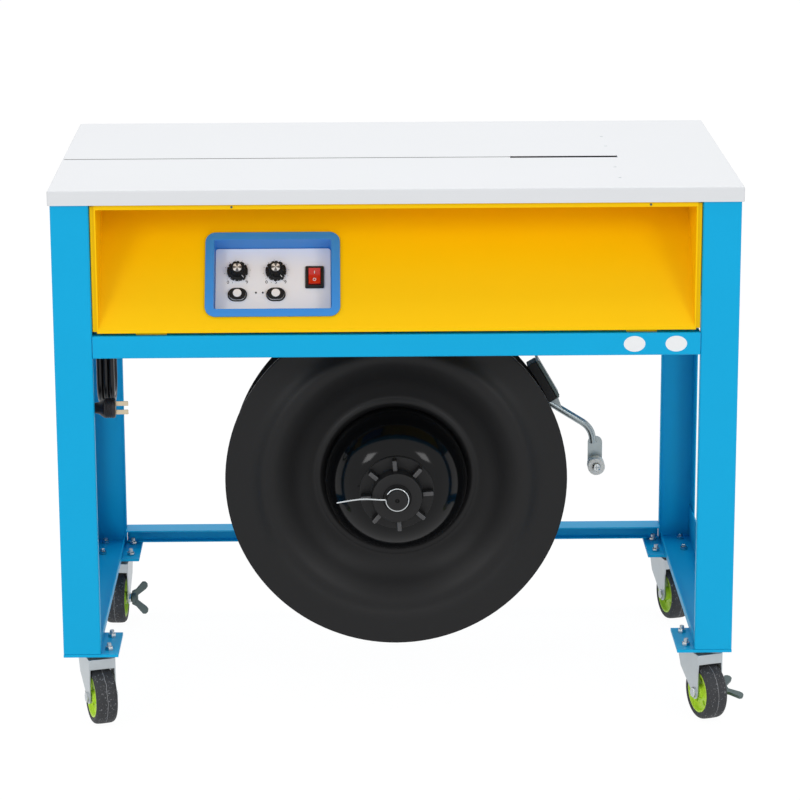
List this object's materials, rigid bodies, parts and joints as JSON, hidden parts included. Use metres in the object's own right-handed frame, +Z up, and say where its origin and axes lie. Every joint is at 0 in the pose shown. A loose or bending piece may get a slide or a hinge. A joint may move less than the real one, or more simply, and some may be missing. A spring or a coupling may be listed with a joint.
{
  "type": "semi automatic strapping machine",
  "caption": "Sheet metal strapping table on swivel casters, with a strap slot, a sloping recessed control panel and a braked strap reel below.",
  "frame": {"origin": "on the floor, under the middle of the machine with its casters as parked", "axes": "+X to the operator's right, +Y away from the operator, +Z up"},
  "size_m": [0.917, 0.5526, 0.732],
  "materials": {
    "frame_blue": "satin powder coat",
    "panel_yellow": "satin powder coat",
    "table_white": "fine textured powder coat",
    "bezel_blue": "moulded, satin",
    "plate_white": "smooth printed sheet",
    "knob_black": "fluted, with a turned bright cap",
    "button_white": "smooth",
    "switch_black": "smooth",
    "switch_red": "smooth, lens like",
    "reel_black": "satin moulded",
    "nut_black": "fine moulded grain",
    "zinc": "zinc plated",
    "steel": "bare steel",
    "rubber": "matt",
    "nylon": "smooth",
    "hub_lime": "moulded, satin",
    "tyre_black": "dusty, with a mould line",
    "cord_black": "satin sheath",
    "plug_black": "moulded",
    "motor_grey": "enamel",
    "cast_grey": "machined casting"
  },
  "bodies": {
    "chassis": {"leg_fl": "frame_blue", "leg_fr": "frame_blue", "leg_bl": "frame_blue", "leg_br": "frame_blue", "front_beam": "frame_blue", "rear_rail": "frame_blue", "side_rail_l": "frame_blue", "side_rail_r": "frame_blue", "side_cover_l": "frame_blue", "side_cover_r": "frame_blue", "rear_cover": "frame_blue", "reel_hanger": "frame_blue", "drive_tray": "frame_blue", "table": "table_white", "front_panel": "panel_yellow", "control_bezel": "bezel_blue", "control_plate": "plate_white", "switch_frame": "switch_black", "reel_shaft": "zinc", "caster_plate_fl": "zinc", "caster_plate_fr": "zinc", "caster_plate_bl": "zinc", "caster_plate_br": "zinc", "wire_clip": "steel", "cord_gland": "cord_black", "cord_hank": "cord_black", "cord_lead": "cord_black", "cord_tail": "cord_black", "plug": "plug_black", "motor": "motor_grey", "gear_case": "cast_grey"},
    "swivel_fl": {"fork_fl": "zinc"},
    "wheel_fl": {"hub_fl": "hub_lime", "tyre_fl": "tyre_black"},
    "swivel_fr": {"fork_fr": "zinc"},
    "wheel_fr": {"hub_fr": "hub_lime", "tyre_fr": "tyre_black"},
    "pedal_fr": {"pedal_fr": "steel"},
    "swivel_bl": {"fork_bl": "zinc"},
    "wheel_bl": {"hub_bl": "hub_lime", "tyre_bl": "tyre_black"},
    "pedal_bl": {"pedal_bl": "steel"},
    "swivel_br": {"fork_br": "zinc"},
    "wheel_br": {"hub_br": "hub_lime", "tyre_br": "tyre_black"},
    "reel": {"flange_front": "reel_black", "flange_rear": "reel_black", "reel_core": "reel_black", "hub_nut": "nut_black"},
    "brake_arm": {"brake_arm": "zinc", "brake_shoe": "rubber"},
    "strap_roller": {"strap_roller": "nylon"},
    "knob_1": {"knob_1": "knob_black"},
    "button_1": {"button_1": "button_white"},
    "knob_2": {"knob_2": "knob_black"},
    "button_2": {"button_2": "button_white"},
    "rocker": {"switch_rocker": "switch_red"},
    "motor_pulley": {"motor_pulley": "cast_grey"},
    "gear_pulley": {"gear_pulley": "cast_grey"},
    "press_head": {"press_head": "steel"}
  },
  "joints": [
    {"name": "swivel_fl_turn", "type": "hinge", "parent": "chassis", "child": "swivel_fl", "pos_m": [-0.41653, -0.21316, 0.0925], "axis": [0, 0, 1], "continuous": true},
    {"name": "wheel_fl_spin", "type": "hinge", "parent": "swivel_fl", "child": "wheel_fl", "pos_m": [-0.4085, -0.23789, 0.0375], "axis": [0.9511, 0.309, 0], "continuous": true},
    {"name": "swivel_fr_turn", "type": "hinge", "parent": "chassis", "child": "swivel_fr", "pos_m": [0.39947, -0.21316, 0.0925], "axis": [0, 0, 1], "continuous": true},
    {"name": "wheel_fr_spin", "type": "hinge", "parent": "swivel_fr", "child": "wheel_fr", "pos_m": [0.40836, -0.23759, 0.0375], "axis": [0.9397, 0.342, 0], "continuous": true},
    {"name": "pedal_fr_tilt", "type": "hinge", "parent": "swivel_fr", "child": "pedal_fr", "pos_m": [0.40836, -0.23759, 0.0375], "axis": [0.9397, 0.342, 0], "range_deg": [-12, 12]},
    {"name": "swivel_bl_turn", "type": "hinge", "parent": "chassis", "child": "swivel_bl", "pos_m": [-0.41653, 0.22584, 0.0925], "axis": [0, 0, 1], "continuous": true},
    {"name": "wheel_bl_spin", "type": "hinge", "parent": "swivel_bl", "child": "wheel_bl", "pos_m": [-0.41789, 0.19988, 0.0375], "axis": [0.9986, -0.0523, 0], "continuous": true},
    {"name": "pedal_bl_tilt", "type": "hinge", "parent": "swivel_bl", "child": "pedal_bl", "pos_m": [-0.41789, 0.19988, 0.0375], "axis": [0.9986, -0.0523, 0], "range_deg": [-12, 12]},
    {"name": "swivel_br_turn", "type": "hinge", "parent": "chassis", "child": "swivel_br", "pos_m": [0.39947, 0.22584, 0.0925], "axis": [0, 0, 1], "continuous": true},
    {"name": "wheel_br_spin", "type": "hinge", "parent": "swivel_br", "child": "wheel_br", "pos_m": [0.4062, 0.20073, 0.0375], "axis": [0.9659, 0.2588, 0], "continuous": true},
    {"name": "reel_spin", "type": "hinge", "parent": "chassis", "child": "reel", "pos_m": [-0.00853, -0.09866, 0.3095], "axis": [0, -1, 0], "continuous": true},
    {"name": "brake_arm_lift", "type": "hinge", "parent": "chassis", "child": "brake_arm", "pos_m": [0.10147, -0.02866, 0.453], "axis": [0, -1, 0], "range_deg": [0, 18]},
    {"name": "strap_roller_spin", "type": "hinge", "parent": "brake_arm", "child": "strap_roller", "pos_m": [0.27047, -0.03766, 0.2995], "axis": [0, -1, 0], "continuous": true},
    {"name": "knob_1_turn", "type": "hinge", "parent": "chassis", "child": "knob_1", "pos_m": [-0.21753, -0.18406, 0.60784], "axis": [0, -0.7982, 0.6023], "range_deg": [0, 300]},
    {"name": "button_1_press", "type": "slide", "parent": "chassis", "child": "button_1", "axis": [0, 0.7982, -0.6023], "range_m": [0, 0.002], "stiffness_N_per_m": 300, "springref_m": -0.002},
    {"name": "knob_2_turn", "type": "hinge", "parent": "chassis", "child": "knob_2", "pos_m": [-0.16683, -0.18406, 0.60784], "axis": [0, -0.7982, 0.6023], "range_deg": [0, 300]},
    {"name": "button_2_press", "type": "slide", "parent": "chassis", "child": "button_2", "axis": [0, 0.7982, -0.6023], "range_m": [0, 0.002], "stiffness_N_per_m": 300, "springref_m": -0.002},
    {"name": "rocker_tilt", "type": "hinge", "parent": "chassis", "child": "rocker", "pos_m": [-0.11583, -0.19212, 0.60264], "axis": [1, 0, 0], "range_deg": [-6, 6]},
    {"name": "gear_pulley_spin", "type": "hinge", "parent": "chassis", "child": "gear_pulley", "pos_m": [-0.12853, 0.12134, 0.6095], "axis": [1, 0, 0], "continuous": true},
    {"name": "motor_pulley_spin", "type": "hinge", "parent": "chassis", "child": "motor_pulley", "pos_m": [-0.12853, 0.03634, 0.6115], "axis": [1, 0, 0], "continuous": true},
    {"name": "press_lift", "type": "slide", "parent": "chassis", "child": "press_head", "axis": [0, 0, 1], "range_m": [0, 0.008]}
  ],
  "couplings": [
    {"joint": "motor_pulley_spin", "follows": "gear_pulley_spin", "ratio": 2.3333}
  ]
}
